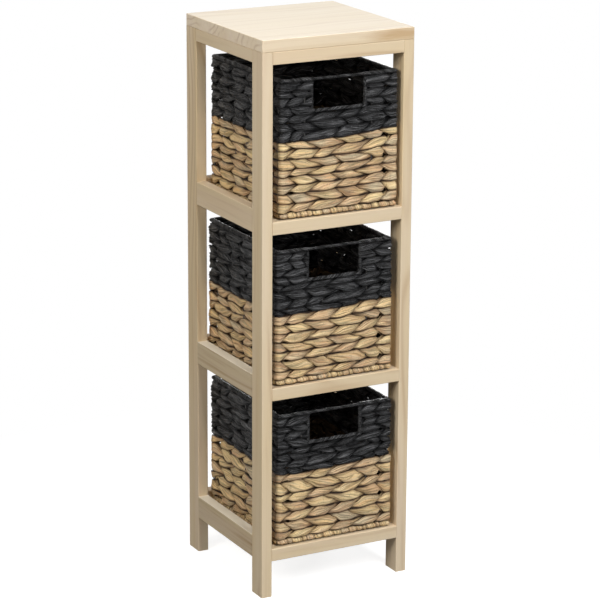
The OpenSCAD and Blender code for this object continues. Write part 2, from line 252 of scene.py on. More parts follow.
class Basket:
    """Places on one basket, from its solids in the frame. Its own origin is under its middle."""

    def __init__(self, level, weave):
        index = LEVELS.index(level)
        self.name = f"basket_{level}"
        self.level = level
        self.seed = weave.seed * 100 + index
        self.natural_rows, self.sill_rows = weave.natural_rows[index], weave.sill_rows[index]
        low, high = (np.array(corner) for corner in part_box(f"{self.name}_wires"))
        self.roll_low, self.roll_high = (np.array(c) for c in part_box(f"{self.name}_roll"))
        self.middle = (self.roll_low + self.roll_high) / 2
        self.middle[2] = self.roll_low[2]
        self.size = (high - low)[:2] - weave.hoop
        self.ring = Ring(*self.size, weave.corner, weave.stakes, weave.end_space,
                         (weave.fold, weave.back_fold))
        self.weave = weave
        self.top = self.heights("rim")[1]

    def edges(self, bottom, top, rows):
        """Heights of the lines between rows that share the height from bottom to top. All but
        the first and the last are shifted by a random share of a row."""
        rng = np.random.default_rng([self.seed, round(bottom * 1e5)])
        heights = np.linspace(bottom, top, rows + 1)
        shift = rng.uniform(-1, 1, rows + 1) * self.weave.uneven * (top - bottom) / rows
        shift[[0, -1]] = 0
        return heights + shift

    def line(self, places, height):
        """Line between two rows along the path. It rises to the front right corner, fading out
        on both sides of it by the fourth power of the distance, dips on the back wall beside
        the left corner by a bell, and wanders. All fade out to the bottom and to the rim by a
        sine."""
        marks, lap = self.ring.marks, self.ring.length
        away = (places - marks[FRONT_RIGHT] + lap / 2) % lap
        away = (away - lap / 2) / SWELL_REACH
        dip = bell(np.mod(places, lap) - marks[BACK_LEFT] + DIP_REACH, DIP_REACH)
        rng = np.random.default_rng([self.seed, round(height * 1e5)])
        drift = self.weave.drift * wander(places, lap, rng, DRIFT_WAVES)
        share = np.sin(pi * np.clip(height / self.top, 0, 1))
        return height + share * (self.weave.swell / (1 + away ** 4) - self.weave.dip * dip
                                 + drift)

    def corner_gap(self, places, sine):
        """How far a stalk is drawn in near the corners, at places along the path: a bell over
        the last crossing before a corner for the stalk that goes in there, and over the first
        one after it for the stalk that comes out. The gaps beside the front right and the back
        left corner are the largest, and there both stalks of the back wall are drawn in."""
        spaces = self.weave.stakes
        wall, passed = np.divmod(self.ring.stake_number(places), spaces)
        wall = wall.astype(int)
        one = bell(passed - spaces + GOING_IN[0], GOING_IN[1]) * np.maximum(sine, 0)
        both = bell(passed - spaces + BOTH_GOING_IN[0], BOTH_GOING_IN[1]) * np.abs(sine)
        before = np.where(wall == BACK_WALL, both, one) * GAP_BEFORE[wall]
        after = bell(passed - COMING_OUT[0], COMING_OUT[1]) * np.maximum(-sine, 0)
        return self.weave.corner_gap * (before + after * GAP_AFTER[wall])

    def heights(self, part):
        """Lowest and highest point of a part over the bottom of the basket."""
        low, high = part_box(f"{self.name}_{part}")
        return low[2] - self.middle[2], high[2] - self.middle[2]


class Ring:
    """Closed path of the hoops: a rectangle with round corners, run anticlockwise.

    A point is the centre of its corner's arc, or a point that slides between two such centres,
    plus the corner radius along the outward normal. The normal turns at the corners only, so
    centre and normal both change in straight steps along the path, from the start of the
    front left corner."""

    def __init__(self, width, depth, radius, spaces, end_space, folds):
        self.radius = radius
        self.fold, self.back_fold = folds
        self.half_x, self.half_y = width / 2 - radius, depth / 2 - radius
        a, b, arc = self.half_x, self.half_y, pi * radius / 2
        self.marks = np.cumsum([0, arc, 2 * a, arc, 2 * b, arc, 2 * a, arc, 2 * b])
        self.turns = np.array([2, 3, 3, 4, 4, 5, 5, 6, 6]) * pi / 2
        self.centre_x = np.array([-a, -a, a, a, a, a, -a, -a, -a])
        self.centre_y = np.array([-b, -b, -b, -b, b, b, b, b, -b])
        self.length = self.marks[-1]
        self.front_middle = arc + a
        sides = []
        for corner, side, end in ((0, width, end_space), (2, depth, depth / spaces),
                                  (4, width, end_space), (6, depth, depth / spaces)):
            stakes = self.marks[corner + 1] - radius + np.linspace(end, side - end, spaces - 1)
            sides.append(np.concatenate([[self.marks[corner] + arc / 2], stakes]))
        self.stakes = np.concatenate([*sides, [self.length + arc / 2]])

    def steps(self, spacing, per_corner, start=0.0, end=None):
        """Places along the path, evenly spaced on each straight and each corner."""
        end = self.length if end is None else end
        places = []
        for lap in (0, self.length):
            for mark, after, corner in zip(self.marks, self.marks[1:], [True, False] * 4):
                number_of_steps = per_corner if corner else round((after - mark) / spacing)
                places.append(lap + np.linspace(mark, after, number_of_steps, endpoint=False))
        places = np.concatenate(places)
        inner = places[(places > start + spacing / 3) & (places < end - spacing / 3)]
        return np.concatenate([[start], inner, [end]])

    def at(self, places):
        """Centre x, centre y and normal angle at places along the path."""
        lap = np.mod(places, self.length)
        return [np.interp(lap, self.marks, values)
                for values in (self.centre_x, self.centre_y, self.turns)]

    def stake_number(self, places):
        """Stakes passed so far, as a number that grows evenly from one stake to the next."""
        first = self.stakes[0]
        laps, rest = np.divmod(places - first, self.length)
        return laps * (len(self.stakes) - 1) + np.interp(rest + first, self.stakes,
                                                        np.arange(len(self.stakes)))


def bell(distance, reach):
    """1 at no distance, falling to 1/e at reach on both sides: exp(-(distance / reach)^2)."""
    return np.exp(-(distance / reach) ** 2)


def smooth_step(values):
    """0 up to 0 and 1 from 1 on, with the rise 3 v^2 - 2 v^3 between them."""
    share = np.clip(values, 0, 1)
    return share * share * (3 - 2 * share)


def wander(places, period, rng, waves):
    """Smooth random curve of about -1 to 1 that repeats after period: a sum of cosines with
    1 to waves turns in a period, each with its own random height and start."""
    turns = np.arange(1, waves + 1)
    heights = rng.normal(size=waves)
    heights /= np.sqrt((heights ** 2).sum())
    starts = rng.uniform(0, 2 * pi, waves)
    return (heights * np.cos(2 * pi * places[..., None] / period * turns + starts)).sum(-1)


# ---- Surfaces ----

FULLNESS = 0.80  # power that gives a stalk's section fuller edges than an ellipse has
CREASES = (-0.45, 0.0, 0.45)  # places of the creases, as shares of the half width
CREASE_REACH = 0.17  # half width of a crease, as such a share
ROW_SHADE_REACH = 0.0010  # distance from the next row over which its shade fades
CONTACT_SHADE_REACH = 0.0022  # the same from the other stalk of the pair

# How far each measure of a stalk wavers, and in how many waves round the basket
WAVER = {"width": (0.05, 34), "thickness": (0.09, 26), "out": (0.0003, 24),
         "up": (0.0003, 22), "crease": (0.40, 24), "tilt": (0.09, 20),
         "turn": (0.8, 5), "tone": (0.18, 16)}
LEAF_TONE = 0.75  # how far the tone of each stretch of a stalk strays
LEAF_CHANGE = (0.30, 0.40)  # start and length of the change to the next one, in turns of phase


class Skin:
    """Collects closed tubes, each a grid of points along and around, and makes one mesh."""

    def __init__(self):
        self.points, self.quads, self.triangles = [], [], []
        self.threads, self.tones_and_shades = [], []
        self.size = 0

    def tube(self, points, thread, look, closed):
        """Adds a tube from an array (along, around, 3). A closed one joins its own start, an
        open one gets a point in the middle of each end. thread is (distance along, cosine and
        sine of the angle around), and the marks after it are (tone, openness to the light,
        facing out), from which the finishes paint shade where a stalk lies less open, and the
        natural one also where it faces in."""
        rows, sides = points.shape[:2]
        index = self.size + np.arange(rows * sides).reshape(rows, sides)
        here = index if closed else index[:-1]
        there = np.roll(index, -1, 0) if closed else index[1:]
        quads = np.stack([here, there, np.roll(there, -1, 1), np.roll(here, -1, 1)], -1)
        inside_out = volume(points, closed) < 0
        if inside_out:
            quads = quads[..., ::-1]
        self.quads.append(quads.reshape(-1, 4))
        self.add(points, thread, look)
        if closed:
            return
        for row, at_end in ((0, False), (-1, True)):
            tip = np.full(sides, self.size)
            fan = np.stack([tip, index[row], np.roll(index[row], -1)], -1)
            if at_end != inside_out:
                fan = fan[:, ::-1]
            self.triangles.append(fan)
            self.add(*(values[row].mean(0)[None, None] for values in (points, thread, look)))

    def add(self, points, thread, look):
        """Stores points with their marks."""
        for store, values in ((self.points, points), (self.threads, thread), (self.tones_and_shades, look)):
            store.append(values.reshape(-1, 3))
        self.size += points.shape[0] * points.shape[1]

    def build(self, name, shift, trim=None):
        """Mesh object of all the tubes, moved by shift. trim changes the points first."""
        points = np.concatenate(self.points)
        if trim:
            points = trim(points)
        quads = np.concatenate(self.quads)
        corners = [quads.ravel()] + [part.ravel() for part in self.triangles]
        sizes = np.full(len(quads), 4)
        if self.triangles:
            sizes = np.concatenate([sizes, np.full(sum(map(len, self.triangles)), 3)])
        corners = np.concatenate(corners).astype(np.int32)
        starts = np.concatenate([[0], np.cumsum(sizes)[:-1]]).astype(np.int32)
        mesh = bpy.data.meshes.new(name)
        mesh.vertices.add(len(points))
        mesh.vertices.foreach_set("co", (points + shift).astype(np.float32).ravel())
        mesh.loops.add(len(corners))
        mesh.loops.foreach_set("vertex_index", corners)
        mesh.polygons.add(len(starts))
        mesh.polygons.foreach_set("loop_start", starts)
        mesh.update(calc_edges=True)
        mesh.polygons.foreach_set("use_smooth", np.ones(len(starts), bool))
        for label, values in (("thread", self.threads), ("look", self.tones_and_shades)):
            layer = mesh.attributes.new(label, "FLOAT_VECTOR", "POINT")
            layer.data.foreach_set("vector", np.concatenate(values).astype(np.float32).ravel())
        mesh.validate()
        return put(name, mesh)


def volume(points, closed):
    """Signed volume of a tube, from the sum of the tetrahedra on its quads' halves. Its sign
    says which way round the grid's faces point."""
    p = points - points.reshape(-1, 3).mean(0)
    a = p if closed else p[:-1]
    b = np.roll(p, -1, 0) if closed else p[1:]
    c, d = np.roll(b, -1, 1), np.roll(a, -1, 1)
    return ((a * np.cross(b, c)).sum() + (a * np.cross(c, d)).sum()) / 6


def bent(values, power):
    """The values' sizes raised to a power, with their signs kept."""
    return np.sign(values) * np.abs(values) ** power


def on_ring(ring, places, out, up):
    """Points beside the path: out along its normal, and up. The corners are squarer than a
    circle, as the normal's parts are raised to a power under 1, and the front ones more so.
    Where a point lies further in than the corner's radius, it stops at the mitre line."""
    x, y, turn = (values[:, None] for values in ring.at(places))
    reach = ring.radius + out
    inner_x, inner_y = ring.half_x + reach, ring.half_y + reach
    to_the_back = turn > 2 * pi
    fold = np.where(to_the_back, ring.back_fold, ring.fold)
    x = x + reach * bent(np.cos(turn), fold)
    y = y + reach * bent(np.sin(turn), fold)
    inside = reach < 0
    x = np.where(inside, np.clip(x, -inner_x, inner_x), x)
    y = np.where(inside, np.clip(y, -inner_y, inner_y), y)
    return np.stack([x, y, np.broadcast_to(up, reach.shape)], -1)


def around(sides):
    """Angles round a section, from the outward face over the top."""
    return 2 * pi * np.arange(sides)[None, :] / sides


def stalk_section(angle, half_thick, half_wide, creases, tilt, crease_depth=0.22):
    """Section of a flattened stalk: an ellipse with fuller edges, the cosine and sine of the
    angle raised to a power under 1. Soft grooves run along its face, at creases given as
    shares of its half width, and then it is tilted. Returns the distances out and up."""
    out = half_thick * bent(np.cos(angle), FULLNESS)
    up = half_wide * bent(np.sin(angle), FULLNESS)
    for crease in creases:
        out = out * (1 - crease_depth * bell(np.sin(angle) - crease, CREASE_REACH))
    return out * np.cos(tilt) - up * np.sin(tilt), out * np.sin(tilt) + up * np.cos(tilt)


def waver(measure, places, period, rng):
    """Smooth random change of one of a stalk's measures."""
    amount, waves = WAVER[measure]
    return amount * wander(places, period, rng, waves)


def twined_stalk(phase, twist, weave, rng, places, period, pitch, scale=1.0, gap=0.0):
    """Course of one stalk of a twined pair. Its phase grows by half a turn from stake to
    stake. It lies flat on the stakes' outer side, then on their inner side, by the hyperbolic
    tangent of the phase's cosine. Near a crossing, by a high power of the phase's sine, it
    takes one half of the row's height, pitch, up or down as twist says, and is narrower by the
    pinch. gap draws its outer edge in at the crossings. Returns columns for out, up, half
    thickness, half width, the creases and tilt."""
    path = (places, period, rng)
    front = np.tanh(weave.grip * np.cos(phase)) / np.tanh(weave.grip)
    sine = np.sin(phase)
    cross = np.abs(sine) ** weave.crossing
    side = twist * np.sign(sine)
    wide = weave.width * pitch / 2 * (1 - weave.pinch * cross)
    wide = wide * (1 + waver("width", *path)) - gap * cross
    thick = weave.thickness / 2 * (1 + waver("thickness", *path))
    out = weave.swing * front + waver("out", *path)
    up = side * (pitch * (weave.rise * cross + weave.slope * np.abs(sine)) - gap * cross)
    up = up + waver("up", *path)
    creases = [waver("crease", *path) + place for place in CREASES]
    tilt = -weave.lean * twist * sine * np.abs(sine) + waver("tilt", *path)
    out, up, thick, wide, tilt, *creases = (
        values[:, None] for values in (out * scale, up, thick * scale, wide, tilt, *creases))
    return out, up, thick, wide, creases, tilt


def leaf_tones(phase, rng):
    """Random tone of 0 to 1 for each stretch in which a stalk shows. It holds while the stalk
    is in front, and passes to the next by a smooth step while it is behind."""
    turn = phase / (2 * pi)
    leaf = np.floor(turn).astype(int)
    start, reach = LEAF_CHANGE
    step = smooth_step((turn - leaf - start) / reach)
    tones = rng.uniform(0, 1, leaf.max() + 2)
    tones[-1] = tones[0]
    return tones[leaf] * (1 - step) + tones[leaf + 1] * step


def stalk_marks(angle, places, phase, rng, period, pitch, up, wide, row_shade_amount=0.85):
    """Marks for the finish of one stalk: thread is its length from a start of its own and the
    direction round it, slowly turned; the other marks are its tone, from one stretch to the
    next and along it, how open it lies to the light, and whether it faces out of the basket.
    It lies open where it shows, less so by an exponential of the distance from the next row,
    and from the other stalk of its pair where it comes from behind that one. This openness
    is painted shade: the finishes darken the stalk where it lies less open."""
    turn = angle + waver("turn", places, period, rng)[:, None]
    start = rng.uniform(0, 50)
    along = np.broadcast_to((places + start)[:, None], turn.shape)
    thread = np.stack([along, np.cos(turn), np.sin(turn)], -1)
    tone = 0.5 + waver("tone", places, period, rng)
    tone = tone + LEAF_TONE * (leaf_tones(phase, rng) - 0.5)
    cosine = np.cos(phase)[:, None]
    across = bent(np.sin(angle), FULLNESS) * wide
    # Painted shade: the stalk lies less open to the light near the next row, and beside its
    # partner where it comes from behind that one
    to_row = np.maximum(np.reshape(pitch, (-1, 1)) / 2 - np.abs(up + across), 0)
    to_other = np.maximum(2 * np.abs(up) - wide + across * np.sign(up), 0)
    row_shade = row_shade_amount * np.exp(-to_row / ROW_SHADE_REACH)
    seen = []
    for way in (1, -1):
        behind = 0.5 - 0.5 * np.tanh(5 * way * cosine)
        shade = behind * np.exp(-to_other / CONTACT_SHADE_REACH)
        seen.append((0.5 + 0.5 * np.tanh(2.5 * (way * cosine + 0.5))) * (1 - shade))
    facing_out = 0.5 + 0.5 * bent(np.cos(angle), 0.6)
    height = (seen[1] + (seen[0] - seen[1]) * facing_out) * (1 - row_shade)
    look = np.stack([np.broadcast_to(tone[:, None], turn.shape), height,
                     np.broadcast_to(facing_out, turn.shape)], -1)
    return thread, look


# ---- Weaving ----

STALK_SIDES = 20
STALK_STEP = 0.0028
CORNER_STEPS = 7
WRAP_SIDES = 16
WRAP_STEP = 0.0015  # longest step along a wrapped hoop
HOOP_STEPS, BAR_STEPS = 10, 12  # steps to a turn, on a hoop at least, and on a bar
CROWN = 0.45  # power of the sine that crowns a turn of wrapping: less is flatter
MOST_GAP = 0.48  # most that a corner gap takes of a stalk's width where two cross
SLIP_WAVES = 12
DRAWN_IN = 0.0025  # length over which a stalk's end is drawn in beside the hand hole
BLUNT = 0.04  # thickness that is left at such an end, as a share
OFF_THE_RAIL = 0.00015  # distance that the stalks keep from the back rail's face
OVER_THE_RAIL = 0.001  # height over that rail up to which they keep it


def weave_row(skin, basket, rng, low, high, twist, span=None, open_corners=1.0,
              crease_depth=0.20, row_shade_amount=1.0, slip=0.15):
    """Adds the two stalks of one row round the basket, between the lines at heights low and
    high, or over a span of the path with their ends drawn in. open_corners scales the gaps
    beside the corners, row_shade_amount is the shade between two rows, and slip is how far the
    crossings stray, as a share of a space."""
    ring, weave = basket.ring, basket.weave
    start, end = span or (0.0, ring.length)
    places = ring.steps(STALK_STEP, CORNER_STEPS, start, end)
    if span is None:
        places = places[:-1]
    stakes = ring.stake_number(places)
    slip = slip * wander(places, ring.length, rng, SLIP_WAVES)
    angle = around(STALK_SIDES)
    lower, upper = basket.line(places, low), basket.line(places, high)
    middle = ((lower + upper) / 2)[:, None]
    for stalk in (0, 1):
        phase = pi * (stakes + stalk + slip)
        gap = basket.corner_gap(places, np.sin(phase)) * open_corners
        gap = np.minimum(gap, MOST_GAP * weave.width * (upper - lower) * (1 - weave.pinch))
        out, up, thick, wide, creases, tilt = twined_stalk(
            phase, twist, weave, rng, places, ring.length, upper - lower, gap=gap)
        if span:
            draw = end_draw(places, start, end, DRAWN_IN)[:, None]
            thick, wide, out = thick * draw, wide * (0.5 + 0.5 * draw), out * draw
        side, rise = stalk_section(angle, thick, wide, creases, tilt, crease_depth)
        points = on_ring(ring, places, out + side, middle + up + rise)
        thread, look = stalk_marks(angle, places, phase, rng, ring.length, upper - lower,
                                   up, wide, row_shade_amount)
        skin.tube(points, thread, look, closed=span is None)


def end_draw(places, start, end, reach):
    """1 along a stalk, falling to nearly 0 at both ends as a quarter circle does."""
    left = np.clip(np.minimum(places - start, end - places) / reach, 0, 1)
    return np.maximum(np.sqrt(1 - (1 - left) ** 2), BLUNT)


def uneven_turns(places, end, pitch, rng):
    """Number of turns of stalk up to each place. A turn covers 0.5 to 1.7 of the pitch, and a
    whole number of them reaches the end."""
    whole = round(end / pitch)
    lengths = rng.uniform(0.5, 1.7, whole)
    edges = np.concatenate([[0], np.cumsum(lengths)]) * end / lengths.sum()
    return np.interp(places, edges, np.arange(whole + 1))


def per_turn(turns, low, high, rng):
    """Random value between low and high, one for each turn of wrapping."""
    values = rng.uniform(low, high, int(np.max(turns)) + 3)
    return values[np.floor(turns).astype(int) + 1]


def wrap_profile(turns, groove, rng):
    """Radius of a wrapped core as a share. Each turn of stalk is crowned, a sine raised to a
    power under 1, with a groove to the next turn, and each has its own fullness."""
    crown = np.abs(np.sin(pi * turns)) ** CROWN
    return per_turn(turns, 0.90, 1.0, rng) * (1 - groove * (1 - crown)), crown


def wrap_marks(angle, turns, crown, rng, shaded=True):
    """Marks for the finish of a wrapped stalk, whose threads run round the core. It lies less
    open to the light in the grooves between turns, and its lower side lies in the shade of
    the core, unless the core stands upright: both are painted shade in the finishes."""
    tone = per_turn(turns, 0.05, 0.95, rng)
    along = (np.floor(turns) + 1) * 0.7 + angle * 0.004
    across = (turns - np.floor(turns)) * pi
    thread = np.stack([along, np.cos(across), np.sin(across)], -1)
    # Painted shade in the grooves between turns and on the lower side
    open_to_light = np.clip(0.25 + 0.75 * crown, 0, 1)
    if shaded:
        open_to_light = open_to_light * np.clip(1.6 + 1.9 * np.sin(angle), 0, 1)
    look = np.stack([tone, open_to_light, np.ones(tone.shape)], -1)
    return thread, look


def wrap_ring(skin, basket, rng, height, half_out, half_up, pitch, groove, helix):
    """Adds a stalk wrapped round a hoop all the way. half_out and half_up are half sizes of
    the section as functions of the place along the path. The turns climb along the hoop where
    helix is 1, and lie nearly square to it where it is 0."""
    ring = basket.ring
    places = ring.steps(min(pitch / HOOP_STEPS, WRAP_STEP), CORNER_STEPS)[:-1]
    angle = around(WRAP_SIDES)
    climb = helix * angle / (2 * pi) + (1 - helix) * 0.06 * np.sin(angle)
    turns = uneven_turns(places, ring.length, pitch, rng)[:, None] + 1 + climb
    profile, crown = wrap_profile(turns, groove, rng)
    out = half_out(places)[:, None] * np.cos(angle) * profile
    up = half_up(places)[:, None] * np.sin(angle) * profile
    points = on_ring(ring, places, out, height + up)
    skin.tube(points, *wrap_marks(angle, turns, crown, rng), closed=True)


def wrap_bar(skin, rng, start, end, half_a, half_b, side_a, side_b, pitch, groove, helix=1.0):
    """Adds a stalk wrapped round a straight bar from start to end, with round ends. side_a and
    side_b are the directions of the half sizes half_a and half_b. The turns climb along the bar
    as a helix does, or lie square to it where helix is 0."""
    start, end, side_a, side_b = (np.array(v, float) for v in (start, end, side_a, side_b))
    reach = np.linalg.norm(end - start)
    places = np.linspace(0, reach, round(reach / pitch * BAR_STEPS) + 1)
    angle = around(WRAP_SIDES)
    turns = uneven_turns(places, reach, pitch, rng)[:, None] + 1 + helix * angle / (2 * pi)
    profile, crown = wrap_profile(turns, groove, rng)
    profile = profile * end_draw(places, 0, reach, min(half_a, half_b))[:, None]
    line = start + (end - start) * (places / reach)[:, None]
    points = (line[:, None, :] + (half_a * np.cos(angle) * profile)[..., None] * side_a
              + (half_b * np.sin(angle) * profile)[..., None] * side_b)
    skin.tube(points, *wrap_marks(angle, turns, crown, rng, helix == 1), closed=False)


def finish_piece(skin, part, basket, material, node=None):
    """Builds the skin at its basket's place, names it after the part, ties it to the basket's
    body, and hides the basket's node if one is given, so that the piece shows in its place."""
    low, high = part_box(f"rail_back_{basket.level}")
    back = low[1] - basket.middle[1] - OFF_THE_RAIL
    rail_top = high[2] - basket.middle[2] + OVER_THE_RAIL

    def trim(points):
        """Lies flat against the back rail, and on the shelf."""
        beside_rail = points[:, 2] < rail_top
        points[:, 1] = np.where(beside_rail, np.minimum(points[:, 1], back), points[:, 1])
        points[:, 2] = np.maximum(points[:, 2], 0.0)
        return points

    piece = skin.build(f"{basket.name}_{part}", basket.middle, trim)
    piece.data.materials.append(material)
    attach(piece, basket.name)
    if node:
        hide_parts(f"{basket.name}_{node}")


# ---- Finishes ----

class Wire:
    """An output of a node tree. Arithmetic on it adds Math nodes."""

    def __init__(self, graph, socket):
        self.graph = graph
        self.socket = socket

    def math(self, operation, *values):
        """Result of a Math node."""
        return self.graph.node("ShaderNodeMath", {"operation": operation}, values)

    def __add__(self, other):
        return self.math("ADD", self, other)

    def __sub__(self, other):
        return self.math("SUBTRACT", self, other)

    def __rsub__(self, other):
        return self.math("SUBTRACT", other, self)

    def __mul__(self, other):
        return self.math("MULTIPLY", self, other)

    def __truediv__(self, other):
        return self.math("DIVIDE", self, other)

    def __pow__(self, other):
        return self.math("POWER", self, other)

    __radd__ = __add__
    __rmul__ = __mul__

    def absolute(self):
        """The value without its sign."""
        return self.math("ABSOLUTE", self)

    def sine(self):
        """Sine of the value in radians."""
        return self.math("SINE", self)

    def clamped(self):
        """The value, held between 0 and 1."""
        return self.graph.node("ShaderNodeClamp", {}, {"Value": self})

    def over(self, start, slope):
        """0 up to start, and from there on rising by slope to 1."""
        return ((self - start) * slope).clamped()


class Graph:
    """Node tree of a new material, or of the world that is given."""

    def __init__(self, name, owner=None):
        self.material = owner or bpy.data.materials.new(name)
        self.material.use_nodes = True
        self.tree = self.material.node_tree
        self.tree.nodes.clear()

    def node(self, kind, settings, inputs, output=0):
        """Adds a node: its settings first, with a ramp's stops under "stops", then the values
        or links of its inputs, by place or by name. Returns one of its outputs."""
        made = self.tree.nodes.new(kind)
        for key, value in settings.items():
            if key == "stops":
                self.set_stops(made.color_ramp, value)
            else:
                setattr(made, key, value)
        pairs = inputs.items() if isinstance(inputs, dict) else enumerate(inputs)
        for key, value in pairs:
            if isinstance(value, Wire):
                self.tree.links.new(value.socket, made.inputs[key])
            else:
                made.inputs[key].default_value = value
        return Wire(self, made.outputs[output]) if made.outputs else None

    @staticmethod
    def set_stops(ramp, stops):
        """Gives a ramp its stops, each a place and a colour."""
        while len(ramp.elements) < len(stops):
            ramp.elements.new(1.0)
        for element, (place, shade) in zip(ramp.elements, stops):
            element.position = place
            element.color = shade

    def mix(self, factor, first, second, blend="MIX"):
        """Colour between two colours. A Mix node's sockets for colours are its 7th and 8th
        input and its 3rd output: they share their names with those for numbers."""
        return self.node("ShaderNodeMix", {"data_type": "RGBA", "blend_type": blend},
                         {0: factor, 6: first, 7: second}, 2)

    def length_of(self, vector):
        """Length of a vector."""
        return self.node("ShaderNodeVectorMath", {"operation": "LENGTH"}, (vector,), "Value")

    def scaled(self, vector, scale):
        """The vector, multiplied along each axis."""
        return self.node("ShaderNodeVectorMath", {"operation": "MULTIPLY"}, (vector, scale))

    def place(self):
        """Object coordinates."""
        return self.node("ShaderNodeTexCoord", {}, {}, "Object")

    def noise(self, vector, scale, detail=2.0, rough=0.5):
        """Noise of 0 to 1 with one scale for each axis."""
        return self.node("ShaderNodeTexNoise", {}, {
            "Vector": self.scaled(vector, scale), "Scale": 1.0, "Detail": detail,
            "Roughness": rough})

    def veins(self, vector, scale, thin, detail=1.0):
        """Thin lines where a noise passes its middle: 1 on them, falling to 0 beside them."""
        return (1 - (self.noise(vector, scale, detail) - 0.5).absolute() * thin).clamped()

    def attribute(self, name):
        """A mesh attribute's vector."""
        return self.node("ShaderNodeAttribute", {"attribute_name": name}, {}, "Vector")

    def parts(self, vector):
        """X, Y and Z of a vector."""
        first = self.node("ShaderNodeSeparateXYZ", {}, {0: vector})
        return [Wire(self, out) for out in first.socket.node.outputs]

    def bump(self, height, distance, strength=1.0):
        """Normal of a surface whose height of 0 to 1 stands for the distance."""
        return self.node("ShaderNodeBump", {}, {
            "Height": height, "Distance": distance, "Strength": strength})

    def surface(self, **inputs):
        """Ends the tree with a Principled surface, and returns the material."""
        names = {key.replace("_", " "): value for key, value in inputs.items()}
        shader = self.node("ShaderNodeBsdfPrincipled", {}, names)
        self.node("ShaderNodeOutputMaterial", {}, {"Surface": shader})
        return self.material


GRAIN_TURNS = {"x": (0, 0, 0), "y": (0, 0, pi / 2), "z": (0, pi / 2, 0)}
YEAR = 0.014  # width of a year's growth in the wood
LIT_TOP_DEPTH = 0.0006  # depth under a piece's top at which the painted light on its top starts
TOP_EDGE = 4000  # how fast it comes in from there, as a share for each metre
KNOT_IN = (0.022, 0.009)  # the knot's centre from the board's right side and from its top
KNOT_REACH = (0.058, 0.006, 0.010)  # how far its stain goes along each axis


def wood_finish(name, grain, seed, finish, top, figure=1.0, knot=None, tone=1.0, sheen=False):
    """Planed pale softwood. The grain runs along one axis: broad straw and rosy streaks, faint
    growth lines bent by a slow noise, and fine pores. figure scales the growth lines, knot is
    the centre of a stain, and tone darkens the sides. Over the height top the wood gets
    painted light, a paler colour on the top face, where tone or sheen is given."""
    rng = np.random.default_rng(seed)
    gloss, roughness, top_light_share = (0.80, 0.25, 0.5) if sheen else (0.20, 0.46, 1.0)
    graph = Graph(name)
    place = graph.place()
    turned = graph.node("ShaderNodeMapping", {}, {
        "Vector": place, "Rotation": GRAIN_TURNS[grain],
        "Location": tuple(rng.uniform(-3, 3, 3))})
    _along, side, depth = graph.parts(turned)
    broad = graph.noise(turned, (1.6, 34, 34), 2)
    rosy = graph.noise(turned, (2.3, 61, 47), 2)
    bend = graph.noise(turned, (1.8, 14, 14), 2)
    strength = graph.noise(turned, (3.0, 40, 40), 1)
    fine = graph.noise(turned, (7, 260, 260), 3, 0.6)
    pores = graph.noise(turned, (38, 1500, 1500), 1)
    angle = rng.uniform(0.2, 1.3)
    rings = (side * cos(angle) + depth * sin(angle)) * 2 * pi / YEAR + bend * 44
    line = ((rings.sine() + 1) * 0.5) ** 4 * strength.over(0.42, 4.5)
    shade = graph.mix(broad.over(0.42, 3.2) * 0.9, finish.wood, finish.wood_straw)
    shade = graph.mix(rosy.over(0.50, 3.0) * 0.6, shade, finish.wood_rose)
    shade = graph.mix(line * 0.62 * figure, shade, finish.wood_line)
    shade = graph.mix(fine.over(0.50, 1.8) * 0.4 * figure, shade, finish.wood_line)
    if knot:
        shade = knot_stain(graph, place, shade, finish, knot)
    # Painted light: the top face is paler, as light from above falls on it, and the tone keeps off
    # it
    over = graph.parts(place)[2].over(top, TOP_EDGE)
    if tone < 1:
        shade = graph.mix(1 - over, shade, (tone, tone, tone * 0.97, 1.0), "MULTIPLY")
    if tone < 1 or sheen:
        shade = graph.mix(over * top_light_share, shade, finish.wood_top)
    height = fine * 0.6 + pores * 0.4 - line * 0.3
    return graph.surface(
        Base_Color=shade, Roughness=fine * 0.20 + roughness, Specular_IOR_Level=gloss,
        Normal=graph.bump(height, 0.00022, 0.55))


def knot_stain(graph, place, shade, finish, centre):
    """Stain that is strongest at centre and fades out at its reach along each axis."""
    away = graph.node("ShaderNodeVectorMath", {"operation": "SUBTRACT"}, (place, centre))
    share = graph.length_of(graph.scaled(away, tuple(1 / reach for reach in KNOT_REACH)))
    ragged = graph.noise(place, (30, 260, 260), 3)
    amount = ((1.15 - share + (ragged - 0.5) * 0.9) * 1.2).clamped()
    return graph.mix(amount * 0.75, shade, finish.wood_knot)


def stalk_relief(graph):
    """Reads a stalk's marks. Returns them, then streaks, fissures, ridges, hairs and specks
    along the stalk, and the height field of its skin."""
    thread = graph.attribute("thread")
    marks = graph.parts(graph.attribute("look"))
    streaks = graph.noise(thread, (24, 2.6, 2.6), 4, 0.62)
    folds = graph.noise(thread, (30, 1.5, 1.5), 2)
    fissures = graph.veins(thread, (17, 1.9, 1.9), 11)
    ridges = graph.veins(thread, (21, 3.1, 3.1), 9)
    hairs = graph.noise(thread, (55, 15, 15), 2, 0.6)
    specks = graph.noise(thread, (430, 3.4, 3.4), 1)
    relief = streaks * 0.7 + folds * 0.5 + hairs * 0.22 + specks * 0.05
    relief = relief - fissures * 0.30 + ridges * 0.18
    return thread, marks, (streaks, fissures, ridges, hairs, specks), relief


